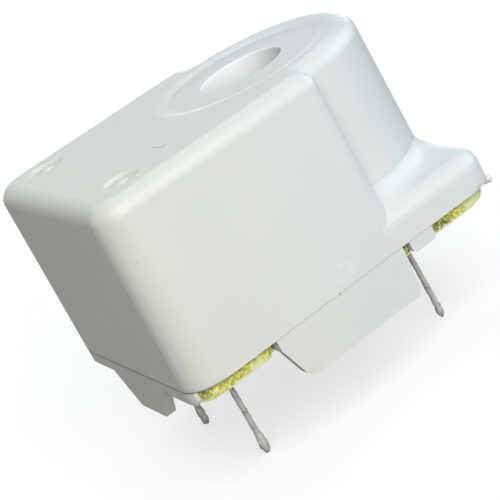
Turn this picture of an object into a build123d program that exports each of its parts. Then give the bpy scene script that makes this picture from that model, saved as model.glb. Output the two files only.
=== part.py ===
from build123d import *
import math
import os

# A self-oscillating piezo buzzer for a printed circuit board.
# Frame: X along the case, Y across it, Z up. The origin is the centre of the four pins,
# in the seating plane that the stand-off tabs touch. The sound outlet faces +Z.

# ---- Case -------------------------------------------------------------------------
CASE_LENGTH = 24.1
CASE_WIDTH = 19.4
CASE_HEIGHT = 12.5          # from the rim to the top face
CASE_WALL = 1.0
TOP_WALL = 1.3
CORNER_RADIUS = 2.2         # upright corners of the case
TOP_ROUND = 1.15
DRAFT = 1.2                 # mould draft, degrees
LEDGE_HEIGHT = 2.35         # foot of the case around the round chamber
LEDGE_ROUND = 1.1
LEDGE_WALL = 0.7            # above the frame's ring

# ---- Round sound chamber ----------------------------------------------------------
CHAMBER_SIDE_GAP = 1.75     # from the side of the case to the chamber wall, at the rim
CHAMBER_END_GAP = 0.05      # from the end of the case to the chamber wall
CHAMBER_WALL = 1.4
BLOCK_OVERLAP = 0.5         # how far the block runs past the middle of the chamber
STEP_CORNER_RADIUS = 1.45   # upright corners where the block ends beside the chamber
STEP_ROOT_RADIUS = 0.25     # where its end runs into the chamber wall
DISH_INSET = 1.9            # from the chamber wall to the rim of the dish
DISH_SLOPE = 0.8            # width of the dish's sloping wall
DISH_DEPTH = 0.15
OUTLET_RADIUS = 2.8
NECK_LENGTH = 2.4           # tuned neck of the outlet, from the dish floor down
NECK_WALL = 0.8
DISC_SEAT_WIDTH = 0.65      # step in the bore that carries the disc
DISC_SEAT_HEIGHT = 8.2      # above the rim
PARTITION_INSET = 0.45      # from the chamber wall to the wall towards the driver's space
PARTITION_FOOT = 3.0        # height above the rim at which that wall ends

# ---- Gate recesses on the top -------------------------------------------------------
GATE_RADIUS = 1.2
GATE_DEPTH = 0.25
GATE_PIP_RADIUS = 0.45
GATE_FROM_END = 3.55
GATE_SPACING = 12.6

# ---- Base frame ---------------------------------------------------------------------
TAB_DEPTH = 3.3             # stand-off below the rim
TAB_WALL = 0.75
LIP_DEPTH = 0.86
LIP_REACH = 1.95            # how far a lip reaches in from the outside of the case
RING_HEIGHT = 1.6
FRAME_FIT = 0.05            # between the frame's ring and the case
SIDE_TAB_START = 5.9        # from the left end of the case
SIDE_TAB_END = 15.9
SIDE_TAB_SHOULDER = 0.75    # upright part of the tab's left edge
SIDE_TAB_SLANT = 0.9
SIDE_TAB_TAPER = 0.2
SIDE_LIP_START = 16.45
SIDE_LIP_END = 18.3
END_TAB_TOP = 7.6
END_TAB_FOOT = 3.9
END_TAB_OFFSET = 0.6        # towards +Y
LEFT_LIP_CORNER = 1.15      # from each end of the left lip to the side of the case
RIGHT_LIP_CORNER = 3.7

# ---- Circuit board and pins ---------------------------------------------------------
BOARD_THICKNESS = 0.8
BOARD_INSET = 0.3
BOARD_LEFT_RADIUS = 1.4
BOARD_RIGHT_RADIUS = 2.5
NOTCH_FIT = 0.1
PIN_SPACING_X = 15.0
PIN_SPACING_Y = 8.9
PIN_FROM_END = 3.6
PIN_RADIUS = 0.22
PIN_REACH = 4.7             # below the seating plane
PIN_ROOT_REACH = 0.9        # square root, below the board
PIN_RISE = 0.4              # above the board
HOLE_CLEARANCE = 0.1
HOLE_SIDES = 8
SOLDER_SPREAD = 0.3         # solder's foot beyond the pin
SOLDER_LIP = 0.08           # solder's rim beyond the pin where it ends
SOLDER_HEIGHT = 0.7
SOLDER_SIDES = 8

# ---- Piezo element ------------------------------------------------------------------
PLATE_FIT = 0.15            # between the plate's edge and its bore
PLATE_THICKNESS = 0.2
CERAMIC_INSET = 1.8         # from the plate's edge to the ceramic's
CERAMIC_THICKNESS = 0.2
SEAL_WIDTH = 0.75
SEAL_HEIGHT = 0.7
SEAL_FIT = 0.03

# ---- Lead wires between the element and the board -------------------------------------
LEAD_RADIUS = 0.2
LEAD_SIDES = 6
LEAD_RISE = 2.3             # upright length at each end
BEAD_RADIUS = 0.55
BEAD_TOP_RADIUS = 0.3
BEAD_HEIGHT = 0.4
PLATE_PAD = (-2.3, 0.0)     # pads on the board and dots on the element, from the chamber's axis
PLATE_DOT = (-5.2, 0.0)
DRIVE_PAD = (-1.6, -3.0)
DRIVE_DOT = (1.0, -2.6)
FEEDBACK_PAD = (-2.0, 4.4)
FEEDBACK_DOT = (0.0, 2.6)

# ---- Driver parts ---------------------------------------------------------------------
DRIVER_ROOM_FIT = 0.5       # least room around the coil
COIL_HEIGHT = 5.6
COIL_FLANGE = 0.9
COIL_GROOVE = 1.4           # depth of the drum's waist
WINDING_INSET = 0.3         # from the flange's edge to the winding
COIL_PIN_SPACING = 3.0
TRANSISTOR_RADIUS = 2.3
TRANSISTOR_FLAT = 1.3       # from the axis to the flat face
TRANSISTOR_HEIGHT = 4.6
TRANSISTOR_LIFT = 1.7
TRANSISTOR_PITCH = 1.27
TRANSISTOR_WALL_FIT = 0.55  # from the frame's ring
LEG_WIDTH = 0.4             # square legs of the transistor and the coil
CHIP_LENGTH = 3.2
CHIP_WIDTH = 1.6
CHIP_HEIGHT = 0.55
CHIP_CAP = 0.5
CHIP_CAP_WRAP = 0.05        # how far an end cap stands proud of the body
CHIP_WALL_FIT = 1.15        # from the frame's ring
CHIP_FROM_CHAMBER = 4.6     # from the chamber's axis to the two chips beside the element
CHIP_FROM_END = 7.4

# ---- Derived places -------------------------------------------------------------------
LEFT = -(PIN_FROM_END + PIN_SPACING_X / 2)
RIGHT = LEFT + CASE_LENGTH
MIDDLE = (LEFT + RIGHT) / 2
FRONT = -CASE_WIDTH / 2
RIM = TAB_DEPTH
TOP = RIM + CASE_HEIGHT
CHAMBER_RADIUS = CASE_WIDTH / 2 - CHAMBER_SIDE_GAP
CHAMBER_X = RIGHT - CHAMBER_END_GAP - CHAMBER_RADIUS
DISC_BORE_RADIUS = CHAMBER_RADIUS - CHAMBER_WALL
FRONT_CAVITY_RADIUS = DISC_BORE_RADIUS - DISC_SEAT_WIDTH
PARTITION_RADIUS = CHAMBER_RADIUS - PARTITION_INSET
DISH_RADIUS = CHAMBER_RADIUS - DISH_INSET
PLATE_RADIUS = DISC_BORE_RADIUS - PLATE_FIT
CERAMIC_RADIUS = PLATE_RADIUS - CERAMIC_INSET
BOARD_BOTTOM = RIM - BOARD_THICKNESS
SEAT = RIM + DISC_SEAT_HEIGHT
PLATE_FACE = SEAT - PLATE_THICKNESS
CERAMIC_FACE = PLATE_FACE - CERAMIC_THICKNESS
TAIL = BOARD_BOTTOM - SOLDER_HEIGHT
PIN_CORNER = PIN_RADIUS * math.sqrt(2)
LEG_CORNER = LEG_WIDTH / math.sqrt(2)

ROOM_LEFT = LEFT + LIP_REACH
ROOM_RIGHT = CHAMBER_X - PARTITION_RADIUS
ROOM_SIDE = CASE_WIDTH / 2 - LIP_REACH
COIL_X = (ROOM_LEFT + ROOM_RIGHT) / 2
COIL_RADIUS = (ROOM_RIGHT - ROOM_LEFT) / 2 - DRIVER_ROOM_FIT
COIL_WAIST_RADIUS = COIL_RADIUS - COIL_GROOVE
WINDING_RADIUS = COIL_RADIUS - WINDING_INSET
TRANSISTOR_X = ROOM_LEFT + TRANSISTOR_WALL_FIT + TRANSISTOR_RADIUS
TRANSISTOR_Y = -ROOM_SIDE + TRANSISTOR_WALL_FIT + TRANSISTOR_FLAT
CHIP_Y = ROOM_SIDE - CHIP_WALL_FIT - CHIP_WIDTH / 2

PIN_PLACES = {
    "front_left": (-PIN_SPACING_X / 2, -PIN_SPACING_Y / 2),
    "front_right": (PIN_SPACING_X / 2, -PIN_SPACING_Y / 2),
    "back_left": (-PIN_SPACING_X / 2, PIN_SPACING_Y / 2),
    "back_right": (PIN_SPACING_X / 2, PIN_SPACING_Y / 2),
}
LEADS = {
    "plate": (PLATE_PAD, PLATE_DOT, PLATE_FACE),
    "drive": (DRIVE_PAD, DRIVE_DOT, CERAMIC_FACE),
    "feedback": (FEEDBACK_PAD, FEEDBACK_DOT, CERAMIC_FACE),
}
CHIP_PLACES = {
    1: (CHAMBER_X - CHIP_FROM_CHAMBER, -CHIP_Y),
    2: (CHAMBER_X - CHIP_FROM_CHAMBER, CHIP_Y),
    3: (LEFT + CHIP_FROM_END, CHIP_Y),
}


ON_BASE = (Align.CENTER, Align.CENTER, Align.MIN)


def cylinder(x, y, bottom, top, radius):
    """Upright cylinder between two heights."""
    return Pos(x, y, bottom) * extrude(Circle(radius), top - bottom)


def prism(outline, bottom, top, draft=0):
    """Outline raised from one height to another, with mould draft."""
    return Pos(0, 0, bottom) * extrude(outline, top - bottom, taper=draft)


def case_outline(inset):
    """Footprint of the case, drawn in from its outside."""
    shape = RectangleRounded(CASE_LENGTH - 2 * inset, CASE_WIDTH - 2 * inset, CORNER_RADIUS - inset)
    return Pos(MIDDLE, 0) * shape


def block_outline(inset):
    """Footprint of the long block, which ends just past the middle of the chamber."""
    length = CHAMBER_X + BLOCK_OVERLAP - LEFT - 2 * inset
    shape = Pos(LEFT + inset + length / 2, 0) * Rectangle(length, CASE_WIDTH - 2 * inset)
    return fillet(shape.vertices().sort_by(Axis.X)[:2], CORNER_RADIUS - inset)


def edges_at(solid, height):
    """Edges that lie in one level plane."""
    return solid.edges().filter_by_position(Axis.Z, height - 0.001, height + 0.001)


def ledge():
    """Foot of the case around the chamber, with its top edge rounded."""
    top = RIM + LEDGE_HEIGHT
    foot = prism(case_outline(0), RIM, top, DRAFT)
    return fillet(edges_at(foot, top), LEDGE_ROUND)


def tower():
    """Drafted block and round chamber, with soft steps where the block ends."""
    outline = block_outline(0)
    outline = fillet(outline.vertices().sort_by(Axis.X)[-2:], STEP_CORNER_RADIUS)
    body = prism(outline, RIM, TOP, DRAFT)
    body += prism(Pos(CHAMBER_X, 0) * Circle(CHAMBER_RADIUS), RIM, TOP, DRAFT)
    upright = body.edges().filter_by_position(Axis.Z, RIM, TOP, (False, False))
    near = upright.filter_by_position(Axis.Y, -CHAMBER_RADIUS, CHAMBER_RADIUS)
    creases = near.filter_by_position(Axis.X, CHAMBER_X, CHAMBER_X + BLOCK_OVERLAP)
    return fillet(creases, STEP_ROOT_RADIUS)


def case_outside():
    """Block and chamber over the ledge, with their top edge rounded."""
    body = tower()
    return ledge() + fillet(edges_at(body, TOP), TOP_ROUND)


def case_cavity():
    """Driver's space, disc bore and front cavity, all open downwards except the last."""
    ceiling = TOP - TOP_WALL
    foot = prism(case_outline(CASE_WALL), RIM, RIM + LEDGE_HEIGHT - LEDGE_WALL)
    driver = prism(block_outline(CASE_WALL), RIM, ceiling, DRAFT)
    driver -= cylinder(CHAMBER_X, 0, RIM + PARTITION_FOOT, ceiling, PARTITION_RADIUS)
    bore = cylinder(CHAMBER_X, 0, RIM, SEAT, DISC_BORE_RADIUS)
    front = cylinder(CHAMBER_X, 0, SEAT, ceiling, FRONT_CAVITY_RADIUS)
    neck_foot = TOP - DISH_DEPTH - NECK_LENGTH
    front -= cylinder(CHAMBER_X, 0, neck_foot, ceiling, OUTLET_RADIUS + NECK_WALL)
    outlet = cylinder(CHAMBER_X, 0, neck_foot, TOP, OUTLET_RADIUS)
    return foot + driver + bore + front + outlet


def dish():
    """Shallow round seat with a sloping wall, cut into the top face."""
    profile = Polyline(
        (0, TOP - DISH_DEPTH),
        (DISH_RADIUS - DISH_SLOPE, TOP - DISH_DEPTH),
        (DISH_RADIUS, TOP),
        (0, TOP),
        close=True,
    )
    return Pos(CHAMBER_X, 0) * revolve(Plane.XZ * make_face(profile), Axis.Z)


def gate_recess(y):
    """Sunk gate mark with the broken-off pip in its middle."""
    x = LEFT + GATE_FROM_END
    floor = TOP - GATE_DEPTH
    recess = Pos(x, y, floor) * Cone(GATE_RADIUS - GATE_DEPTH, GATE_RADIUS, GATE_DEPTH, align=ON_BASE)
    return recess - cylinder(x, y, floor, TOP, GATE_PIP_RADIUS)


def case():
    """The moulded case: one piece."""
    body = case_outside() - case_cavity() - dish()
    for y in (-GATE_SPACING / 2, GATE_SPACING / 2):
        body -= gate_recess(y)
    return body


def side_tab():
    """Stand-off tab of the front side, in the XZ plane, slanted at its left foot."""
    start = LEFT + SIDE_TAB_START
    end = LEFT + SIDE_TAB_END
    outline = make_face(
        Polyline(
            (start, RIM),
            (start, RIM - SIDE_TAB_SHOULDER),
            (start + SIDE_TAB_SLANT, 0),
            (end - SIDE_TAB_TAPER, 0),
            (end, RIM),
            close=True,
        )
    )
    foot = outline.vertices().filter_by_position(Axis.Y, -0.01, 0.01).sort_by(Axis.X)
    outline = fillet(foot[0], SIDE_TAB_SLANT)
    foot = outline.vertices().sort_by(Axis.X)[-2:].sort_by(Axis.Y)
    outline = fillet(foot[0], SIDE_TAB_SLANT / 2)
    return Pos(0, FRONT + TAB_WALL, 0) * extrude(Plane.XZ * outline, TAB_WALL)


def end_tab():
    """Stand-off tab of an end: a symmetric trapezoid in the YZ plane."""
    outline = make_face(
        Polyline(
            (-END_TAB_TOP / 2, RIM),
            (-END_TAB_TOP / 2, RIM - LIP_DEPTH),
            (-END_TAB_FOOT / 2, 0),
            (END_TAB_FOOT / 2, 0),
            (END_TAB_TOP / 2, RIM - LIP_DEPTH),
            (END_TAB_TOP / 2, RIM),
            close=True,
        )
    )
    return Pos(0, END_TAB_OFFSET, 0) * extrude(Plane.YZ * outline, TAB_WALL)


def lip_plan(fit=0):
    """Plan of the lips, grown by a fit where the board makes room for them."""
    reach = LIP_REACH + fit
    plan = Sketch()
    for start, end in ((SIDE_TAB_START, SIDE_TAB_END), (SIDE_LIP_START, SIDE_LIP_END)):
        length = end - start + 2 * fit
        for side in (-1, 1):
            y = side * (CASE_WIDTH / 2 - reach / 2)
            plan += Pos(LEFT + (start + end) / 2, y) * Rectangle(length, reach)
    left_span = CASE_WIDTH - 2 * LEFT_LIP_CORNER + 2 * fit
    right_span = CASE_WIDTH - 2 * RIGHT_LIP_CORNER + 2 * fit
    plan += Pos(LEFT + reach / 2, 0) * Rectangle(reach, left_span)
    plan += Pos(RIGHT - reach / 2, 0) * Rectangle(reach, right_span)
    return plan


def base_frame():
    """Ring inside the case, with lips under its rim and four stand-off tabs."""
    ring = case_outline(CASE_WALL + FRAME_FIT) - case_outline(LIP_REACH)
    frame = prism(ring, RIM, RIM + RING_HEIGHT)
    frame += prism(lip_plan() & case_outline(0), RIM - LIP_DEPTH, RIM)
    front = side_tab()
    frame += front + mirror(front, Plane.XZ)
    frame += Pos(LEFT, 0, 0) * end_tab() + Pos(RIGHT - TAB_WALL, 0, 0) * end_tab()
    return frame


def board_holes():
    """Places and radii of the holes in the board."""
    holes = [(x, y, PIN_CORNER) for x, y in PIN_PLACES.values()]
    holes += [(x, y, LEG_CORNER) for x, y in coil_pins() + transistor_legs()]
    return holes


def circuit_board():
    """Board with a notch for each lip and a hole for each pin and leg."""
    outline = Pos(MIDDLE, 0) * Rectangle(CASE_LENGTH - 2 * BOARD_INSET, CASE_WIDTH - 2 * BOARD_INSET)
    corners = outline.vertices().sort_by(Axis.X)
    outline = fillet(corners[:2], BOARD_LEFT_RADIUS)
    corners = outline.vertices().sort_by(Axis.X)
    outline = fillet(corners[-2:], BOARD_RIGHT_RADIUS)
    outline -= lip_plan(NOTCH_FIT)
    for x, y, radius in board_holes():
        outline -= Pos(x, y) * RegularPolygon(radius + HOLE_CLEARANCE, HOLE_SIDES, major_radius=False)
    return prism(outline, BOARD_BOTTOM, RIM)


def post(x, y, bottom, top, width):
    """Upright square post between two heights."""
    return Pos(x, y, bottom) * Box(width, width, top - bottom, align=ON_BASE)


def pin(x, y):
    """Round pin with a square root that grips the board."""
    shoulder = BOARD_BOTTOM - PIN_ROOT_REACH
    root = post(x, y, shoulder, RIM + PIN_RISE, 2 * PIN_RADIUS)
    return root + cylinder(x, y, -PIN_REACH, shoulder, PIN_RADIUS)


def facet_cone(x, y, bottom, low_radius, high_radius, height):
    """Small solder joint: a cone with a few flat sides."""
    low = Pos(x, y, bottom) * RegularPolygon(low_radius, SOLDER_SIDES)
    high = Pos(x, y, bottom + height) * RegularPolygon(high_radius, SOLDER_SIDES)
    return loft([low, high])


def solder_cone(x, y, radius):
    """Solder under the board, drawn down around a pin or leg of that radius."""
    return facet_cone(x, y, TAIL, radius + SOLDER_LIP, radius + SOLDER_SPREAD, SOLDER_HEIGHT)


def disc_seal():
    """Chamfered bead of silicone that holds the plate's rim on its seat."""
    outer = DISC_BORE_RADIUS - SEAL_FIT
    inner = outer - SEAL_WIDTH
    profile = make_face(
        Polyline((inner, PLATE_FACE), (outer, PLATE_FACE), (outer, PLATE_FACE - SEAL_HEIGHT), close=True)
    )
    return Pos(CHAMBER_X, 0) * revolve(Plane.XZ * profile, Axis.Z)


def lead(pad, dot, face):
    """Insulated lead from the bead on its pad up to the bead on the element, in two wide bends."""
    low = RIM + BEAD_HEIGHT
    high = face - BEAD_HEIGHT
    points = [(*pad, low), (*pad, low + LEAD_RISE), (*dot, high - LEAD_RISE), (*dot, high)]
    across = math.dist(points[1], points[2])
    turn = math.acos((points[2][2] - points[1][2]) / across)
    bend = 0.45 * min(LEAD_RISE, across) / math.tan(turn / 2)
    path = FilletPolyline(*points, radius=bend)
    section = Pos(*points[0]) * RegularPolygon(LEAD_RADIUS, LEAD_SIDES)
    return sweep(section, path=path)


def bead(x, y, face, side):
    """Solder bead on a face; side is 1 above the face and -1 below."""
    if side > 0:
        return facet_cone(x, y, face, BEAD_RADIUS, BEAD_TOP_RADIUS, BEAD_HEIGHT)
    return facet_cone(x, y, face - BEAD_HEIGHT, BEAD_TOP_RADIUS, BEAD_RADIUS, BEAD_HEIGHT)


def coil_pins():
    """Places of the coil's two pins."""
    return [(COIL_X, -COIL_PIN_SPACING / 2), (COIL_X, COIL_PIN_SPACING / 2)]


def coil_core():
    """Ferrite drum that stands on the board."""
    top = RIM + COIL_HEIGHT
    core = cylinder(COIL_X, 0, RIM, top, COIL_RADIUS)
    groove = cylinder(COIL_X, 0, RIM + COIL_FLANGE, top - COIL_FLANGE, COIL_RADIUS)
    groove -= cylinder(COIL_X, 0, RIM + COIL_FLANGE, top - COIL_FLANGE, COIL_WAIST_RADIUS)
    return core - groove


def coil_winding():
    """Enamelled wire on the drum's waist."""
    low = RIM + COIL_FLANGE
    high = RIM + COIL_HEIGHT - COIL_FLANGE
    turns = cylinder(COIL_X, 0, low, high, WINDING_RADIUS)
    return turns - cylinder(COIL_X, 0, low, high, COIL_WAIST_RADIUS)


def transistor_legs():
    """Places of the transistor's three legs."""
    return [(TRANSISTOR_X + step * TRANSISTOR_PITCH, TRANSISTOR_Y) for step in (-1, 0, 1)]


def transistor_body():
    """Moulded body with one flat face."""
    disc = Circle(TRANSISTOR_RADIUS)
    flat = Pos(0, -TRANSISTOR_FLAT - TRANSISTOR_RADIUS) * Rectangle(
        2 * TRANSISTOR_RADIUS, 2 * TRANSISTOR_RADIUS
    )
    outline = Pos(TRANSISTOR_X, TRANSISTOR_Y) * (disc - flat)
    foot = RIM + TRANSISTOR_LIFT
    return prism(outline, foot, foot + TRANSISTOR_HEIGHT)


def chip_body(x, y):
    """Ceramic body of a chip resistor."""
    length = CHIP_LENGTH - 2 * CHIP_CAP
    return Pos(x, y, RIM + CHIP_CAP_WRAP) * Box(length, CHIP_WIDTH, CHIP_HEIGHT, align=ON_BASE)


def chip_cap(x, y, side):
    """Tinned end cap of a chip resistor, which stands on the board."""
    centre = x + side * (CHIP_LENGTH - CHIP_CAP) / 2
    width = CHIP_WIDTH + 2 * CHIP_CAP_WRAP
    height = CHIP_HEIGHT + 2 * CHIP_CAP_WRAP
    return Pos(centre, y, RIM) * Box(CHIP_CAP, width, height, align=ON_BASE)


def housing_parts():
    """Case, frame, board and pins with their solder."""
    parts = {"case": case(), "base_frame": base_frame(), "circuit_board": circuit_board()}
    for name, (x, y) in PIN_PLACES.items():
        terminal = pin(x, y)
        parts[f"pin_{name}"] = terminal
        parts[f"pin_solder_{name}"] = solder_cone(x, y, PIN_CORNER) - terminal
    return parts


def element_parts():
    """Piezo disc, its seal, and its three leads with their solder beads."""
    parts = {
        "piezo_plate": cylinder(CHAMBER_X, 0, PLATE_FACE, SEAT, PLATE_RADIUS),
        "piezo_ceramic": cylinder(CHAMBER_X, 0, CERAMIC_FACE, PLATE_FACE, CERAMIC_RADIUS),
        "disc_seal": disc_seal(),
    }
    for name, (pad_offset, dot_offset, face) in LEADS.items():
        pad = (CHAMBER_X + pad_offset[0], pad_offset[1])
        dot = (CHAMBER_X + dot_offset[0], dot_offset[1])
        parts[f"{name}_lead"] = lead(pad, dot, face)
        parts[f"{name}_bead_board"] = bead(*pad, RIM, 1)
        parts[f"{name}_bead_disc"] = bead(*dot, face, -1)
    return parts


def driver_parts():
    """Coil, transistor and chip resistors of the oscillator."""
    parts = {"coil_core": coil_core(), "coil_winding": coil_winding()}
    for number, (x, y) in enumerate(coil_pins(), 1):
        parts[f"coil_pin_{number}"] = post(x, y, BOARD_BOTTOM, RIM, LEG_WIDTH)
        parts[f"coil_solder_{number}"] = solder_cone(x, y, LEG_CORNER)
    parts["transistor_body"] = transistor_body()
    for number, (x, y) in enumerate(transistor_legs(), 1):
        parts[f"transistor_leg_{number}"] = post(x, y, BOARD_BOTTOM, RIM + TRANSISTOR_LIFT, LEG_WIDTH)
        parts[f"transistor_solder_{number}"] = solder_cone(x, y, LEG_CORNER)
    for number, (x, y) in CHIP_PLACES.items():
        parts[f"resistor_{number}_body"] = chip_body(x, y)
        parts[f"resistor_{number}_cap_a"] = chip_cap(x, y, -1)
        parts[f"resistor_{number}_cap_b"] = chip_cap(x, y, 1)
    return parts


os.makedirs("parts", exist_ok=True)
for name, solid in {**housing_parts(), **element_parts(), **driver_parts()}.items():
    export_step(solid, f"parts/{name}.step")
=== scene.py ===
# %% [markdown]
# # A piezo buzzer for a circuit board, dressed in Blender
# The part is a small sounder: a pale moulded case with a round sound chamber at one end, a base
# frame with stand-off tabs, a circuit board that closes it from below and four round pins.
# Its exact solids come from CAD. This lesson keeps their places and sizes, and gives each of them
# the edges, the finish and the small faults that a real moulding, board and pin have.

# %% Load the frame
import math

import bpy
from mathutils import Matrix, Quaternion, Vector


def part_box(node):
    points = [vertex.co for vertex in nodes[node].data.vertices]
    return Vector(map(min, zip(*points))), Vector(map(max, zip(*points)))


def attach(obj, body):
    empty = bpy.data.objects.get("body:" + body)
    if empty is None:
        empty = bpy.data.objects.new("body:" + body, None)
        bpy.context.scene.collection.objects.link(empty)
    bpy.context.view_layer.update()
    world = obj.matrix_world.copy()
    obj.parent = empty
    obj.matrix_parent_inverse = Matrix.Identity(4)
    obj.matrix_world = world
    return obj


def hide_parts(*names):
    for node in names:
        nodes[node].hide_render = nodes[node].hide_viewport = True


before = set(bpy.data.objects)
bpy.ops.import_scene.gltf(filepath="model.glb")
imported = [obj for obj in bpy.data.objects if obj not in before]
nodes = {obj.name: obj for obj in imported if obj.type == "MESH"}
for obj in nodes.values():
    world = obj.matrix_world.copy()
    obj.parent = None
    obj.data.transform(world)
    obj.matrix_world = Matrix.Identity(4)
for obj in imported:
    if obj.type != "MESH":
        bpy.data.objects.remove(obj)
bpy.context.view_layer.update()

MM = 0.001

# %% [markdown]
# ## The heights that everything shares
# The main heights are read from the solids, so they are right to the last digit. Smaller features
# are placed in millimetres of the same frame: X along the case, Y across it, Z up.
# The rim is the plane where the case meets its base. The board hangs just under it, and the pins'
# tips are the lowest points, so the table stands there.

# %% Measure the heights and the middle of the chamber
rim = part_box("case")[0].z
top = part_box("case")[1].z
board_low, board_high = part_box("circuit_board")
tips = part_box("pin_front_left")[0].z
plate_low, plate_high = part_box("piezo_plate")
chamber = (plate_low + plate_high) / 2
print("rim", round(rim / MM, 2), "top", round(top / MM, 2), "tips", round(tips / MM, 2))
print("chamber axis at x", round(chamber.x / MM, 2))

# %% [markdown]
# ## Camera
# A small part is taken from close by with a long lens, so its upright edges stay nearly parallel.
# The camera looks down at the front by about nineteen degrees and is rolled, so the part lies
# across the frame. `to_track_quat` gives the level camera, and one more turn about its own axis
# rolls it.

# %% Place the camera
camera_look = Vector((0.32346, 0.88757, -0.32802))
bpy.ops.object.camera_add(location=Vector((-33.94, -92.13, 39.36)) * MM)
camera = bpy.context.object
camera.name = "camera"
camera.rotation_mode = "QUATERNION"
roll = Quaternion((0, 0, 1), math.radians(-28.92))
camera.rotation_quaternion = camera_look.to_track_quat("-Z", "Y") @ roll
camera.data.lens = 115.8
camera.data.sensor_width = 36
camera.data.clip_start = 0.005
bpy.context.scene.camera = camera
print("camera", round(camera.location.length / MM), "mm from the part's origin")

# %% [markdown]
# ## Table and light
# The studio is a wide pale table under four soft lamps. The key stands in front, above and a little
# to the left, and lights the top and the front alike. A cooler lamp on the right keeps the round
# chamber from going dark, and a weak one above and behind draws the far rim. The last is low and
# flat: it grazes the top from behind and draws a bright line on the near slope of the dish. No lamp
# faces the left end, which only catches the left parts of the key and of the lamp behind at a
# slant, so it goes grey and the form stays readable.

# %% Lay the table
def select_only(piece):
    """Deselect everything, then make one piece selected and active."""
    bpy.ops.object.select_all(action="DESELECT")
    piece.select_set(True)
    bpy.context.view_layer.objects.active = piece


bpy.ops.object.select_all(action="DESELECT")
bpy.ops.mesh.primitive_circle_add(vertices=96, radius=2.5, fill_type="NGON", location=(0, 0, tips))
table = bpy.context.object
table.name = "table"
bpy.ops.object.transform_apply(location=True, rotation=True, scale=True)
print("table at z", round(tips / MM, 2), "mm")

# %% Hang the lamps
lamp_distance = 0.40


def softbox(name, direction, size, power, colour):
    """Square lamp that looks back at the part from a direction."""
    aim = Vector(direction).normalized()
    bpy.ops.object.light_add(type="AREA", location=aim * lamp_distance)
    lamp = bpy.context.object
    lamp.name = name
    lamp.rotation_euler = aim.to_track_quat("Z", "Y").to_euler()
    lamp.data.size = size
    lamp.data.energy = power
    lamp.data.color = colour
    return lamp


key = softbox("key_lamp", (-0.17, -0.80, 0.57), 0.44, 2.08, (1.0, 1.0, 0.97))
side = softbox("side_lamp", (0.98, -0.10, 0.14), 0.42, 1.30, (0.78, 0.91, 1.0))
back = softbox("back_lamp", (0.10, 0.60, 0.80), 0.42, 0.62, (0.88, 0.99, 1.0))
grazing = softbox("low_lamp", (0.34, 0.93, 0.05), 0.40, 0.30, (1.0, 1.0, 1.0))
grazing.data.shape = "RECTANGLE"
grazing.data.size_y = 0.07
for lamp in (key, side, back, grazing):
    print(lamp.name, round(lamp.data.energy, 2), "W")

# %% [markdown]
# ## Building shaders in code
# A shader is a few nodes and links. One short helper adds a node, sets its options and fills its
# sockets, from a value or from another node's output, so a material reads like a recipe.

# %% Helpers for shader nodes
def add_node(tree, kind, sockets, **options):
    """Add a node, set its options, and fill each socket from a value or a link."""
    node = tree.nodes.new(kind)
    for option, value in options.items():
        setattr(node, option, value)
    for socket, value in sockets.items():
        if isinstance(value, bpy.types.NodeSocket):
            tree.links.new(value, node.inputs[socket])
        else:
            node.inputs[socket].default_value = value
    return node


def noise(tree, place, scale, detail=3.0, roughness=0.5):
    """Cloudy value from 0 to 1; scale is in spots per metre."""
    sockets = {"Vector": place, "Scale": scale, "Detail": detail, "Roughness": roughness}
    return add_node(tree, "ShaderNodeTexNoise", sockets).outputs["Fac"]


def remap(tree, value, start, end, low=0.0, high=1.0):
    """Stretch the part of a value between start and end to low and high."""
    sockets = {"Value": value, "From Min": start, "From Max": end, "To Min": low, "To Max": high}
    return add_node(tree, "ShaderNodeMapRange", sockets).outputs["Result"]


def mix_colours(tree, mask, first, second):
    """First colour where the mask is 0, second where it is 1."""
    sockets = {0: mask, 6: first, 7: second}
    return add_node(tree, "ShaderNodeMix", sockets, data_type="RGBA").outputs[2]


def maths(tree, operation, first, second=0.0):
    """Result of one operation on one or two values."""
    return add_node(tree, "ShaderNodeMath", {0: first, 1: second}, operation=operation).outputs[0]


print("shader helpers ready")

# %% Helpers for groups and materials
def begin_group(name, inputs, outputs):
    """Empty shader group with named inputs and outputs; returns it with its entry and exit."""
    group = bpy.data.node_groups.new(name, "ShaderNodeTree")
    for label, kind, value in inputs:
        socket = group.interface.new_socket(label, in_out="INPUT", socket_type=kind)
        socket.default_value = value
    for label in outputs:
        group.interface.new_socket(label, in_out="OUTPUT", socket_type="NodeSocketFloat")
    return group, group.nodes.new("NodeGroupInput"), group.nodes.new("NodeGroupOutput")


def use_group(tree, group, sockets):
    """Place a group in a material."""
    return add_node(tree, "ShaderNodeGroup", sockets, node_tree=group)


def begin_material(name, colour, roughness, metallic=0.0):
    """Material with a Principled shader set to plain values; returns its parts."""
    material = bpy.data.materials.new(name)
    material.use_nodes = True
    tree = material.node_tree
    shader = tree.nodes["Principled BSDF"]
    shader.inputs["Base Color"].default_value = (*colour, 1)
    shader.inputs["Roughness"].default_value = roughness
    shader.inputs["Metallic"].default_value = metallic
    place = add_node(tree, "ShaderNodeTexCoord", {}).outputs["Object"]
    return material, tree, shader, place


print("group and material helpers ready")

# %% Helpers that fill the shader's sockets
def tint(tree, shader, mask, first, second):
    """Colour the shader with a first colour where the mask is 0 and a second where it is 1."""
    tree.links.new(mix_colours(tree, mask, first, second), shader.inputs["Base Color"])


def vary_gloss(tree, shader, cloud, smooth, rough):
    """Let the roughness follow a cloudy value, most of which lies between 0.3 and 0.7."""
    tree.links.new(remap(tree, cloud, 0.3, 0.7, smooth, rough), shader.inputs["Roughness"])


def bump(tree, shader, height, depth):
    """Feed a height to the shader's normal; depth is in metres."""
    sockets = {"Height": height, "Distance": depth, "Strength": 1.0}
    normal = add_node(tree, "ShaderNodeBump", sockets).outputs["Normal"]
    tree.links.new(normal, shader.inputs["Normal"])


print("socket helpers ready")

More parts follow.
